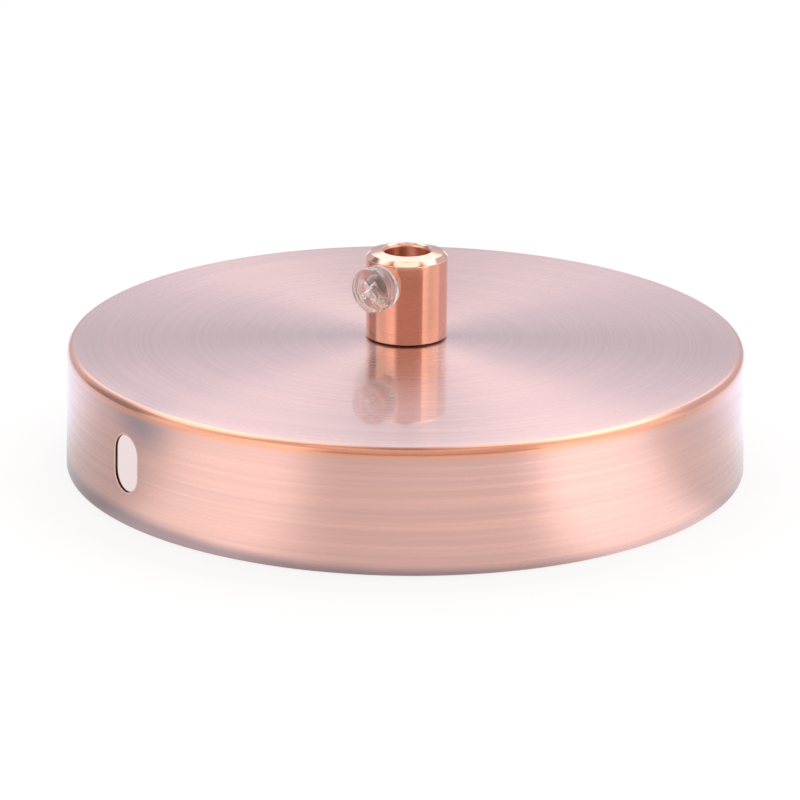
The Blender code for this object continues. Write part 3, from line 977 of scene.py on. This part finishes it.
def make_world():
    """The studio lights the canopy, and what the camera sees round it is plain white."""
    world = bpy.data.worlds.new("studio")
    bpy.context.scene.world = world
    world.use_nodes = True
    tree = world.node_tree
    background = tree.nodes["Background"]
    tree.links.new(studio_light(tree), background.inputs["Color"])
    white = tree.nodes.new("ShaderNodeBackground")
    white.inputs["Color"].default_value = (1, 1, 1, 1)
    white.inputs["Strength"].default_value = 1.0
    rays = tree.nodes.new("ShaderNodeLightPath")
    seen = math_node(tree, "MAXIMUM", rays.outputs["Is Camera Ray"], rays.outputs["Is Transmission Ray"])
    mix = tree.nodes.new("ShaderNodeMixShader")
    tree.links.new(seen, mix.inputs[0])
    tree.links.new(background.outputs[0], mix.inputs[1])
    tree.links.new(white.outputs[0], mix.inputs[2])
    tree.links.new(mix.outputs[0], tree.nodes["World Output"].inputs["Surface"])


FLOOR_HALF = 3.0
FLOOR_DROP = 0.2 * MM  # keeps the floor clear of the rim


def floor_reflection(tree, to_right, to_back, behind):
    """How bright the floor looks in the metal, from its place as the camera's azimuth sees it."""
    front = ramp(tree, to_back, -0.07, -0.02, 0.24, 0.0)
    sideways = ramp(tree, to_right, -0.06, 0.06, 0.47, 0.6)
    turned = azimuth_of(tree, to_right, to_back)
    right_patch = times(tree, window(tree, turned, 32, 64, 14, 14), 0.58)
    left_patch = times(tree, window(tree, turned, -58, -25, 16, 14), 0.42)
    even = plus(tree, sideways, plus(tree, front, times(tree, behind, 0.38)))
    return plus(tree, even, plus(tree, right_patch, left_patch))


def light_table():
    """A pale sheet that glows a little: plain to the camera, and uneven to the metal that mirrors it."""
    material, tree, shader = new_material("light_table")
    shader.inputs["Base Color"].default_value = (0.2, 0.2, 0.2, 1)
    shader.inputs["Roughness"].default_value = 0.9
    shader.inputs["Specular IOR Level"].default_value = 0.0
    coordinates = object_coordinates(tree)
    x, y = separate(tree, coordinates)[:2]
    painted_copper_glow_under_cup = ramp(tree, axis_distance(tree, x, y), rim_radius - 2 * MM, rim_radius - 1 * MM, 1.0, 0.0)
    turn = tree.nodes.new("ShaderNodeVectorRotate")
    turn.rotation_type = "Z_AXIS"
    turn.inputs["Angle"].default_value = -CAMERA_AZIMUTH
    tree.links.new(coordinates, turn.inputs["Vector"])
    to_right, to_back = separate(tree, turn.outputs[0])[:2]
    behind = ramp(tree, to_back, -0.01, 0.03)
    rays = tree.nodes.new("ShaderNodeLightPath")
    glossy = rays.outputs["Is Glossy Ray"]
    # Under the cup the floor glows pink: a painted reflection of the copper-tinted light that the inside of
    # the cup throws down.
    glow_colour = mix_colour(tree, painted_copper_glow_under_cup, (1.0, 1.0, 1.0), (1.0, 0.87, 0.88))
    glow_colour = mix_colour(tree, times(tree, glossy, behind), glow_colour, (0.94, 0.98, 1.15))
    tree.links.new(glow_colour, shader.inputs["Emission Color"])
    seen = math_node(tree, "MAXIMUM", rays.outputs["Is Camera Ray"], rays.outputs["Is Transmission Ray"])
    direct_glow = times(tree, seen, 0.8)
    reflected_glow = times(tree, glossy, floor_reflection(tree, to_right, to_back, behind))
    glow = math_node(tree, "MAXIMUM", direct_glow, reflected_glow)
    tree.links.new(glow, shader.inputs["Emission Strength"])
    material.cycles.emission_sampling = "NONE"
    return material


def make_floor():
    """A wide pale floor, which keeps the canopy's shadow."""
    mesh = bpy.data.meshes.new("floor")
    h = FLOOR_HALF
    mesh.from_pydata([(-h, -h, 0), (h, -h, 0), (h, h, 0), (-h, h, 0)], [], [(0, 1, 2, 3)])
    mesh.materials.append(light_table())
    floor = bpy.data.objects.new("floor", mesh)
    bpy.context.scene.collection.objects.link(floor)
    floor.location = (0, 0, -FLOOR_DROP)


def main():
    brushed = brushed_copper()
    inner = inner_copper()
    edge = slot_edge_painted_shadow()
    polished = polished_copper()
    plastic = clear_plastic()
    zinc = zinc_steel()
    make_shell(brushed, inner, edge)
    make_grip(polished)
    make_screw(plastic)
    make_nipple(zinc)
    for name in ("lock_washer", "lock_nut"):
        node = frame["nodes"][name]
        node.data.materials.clear()
        node.data.materials.append(zinc)
    make_camera()
    make_world()
    make_floor()
    bpy.context.scene.view_settings.view_transform = "Standard"


main()
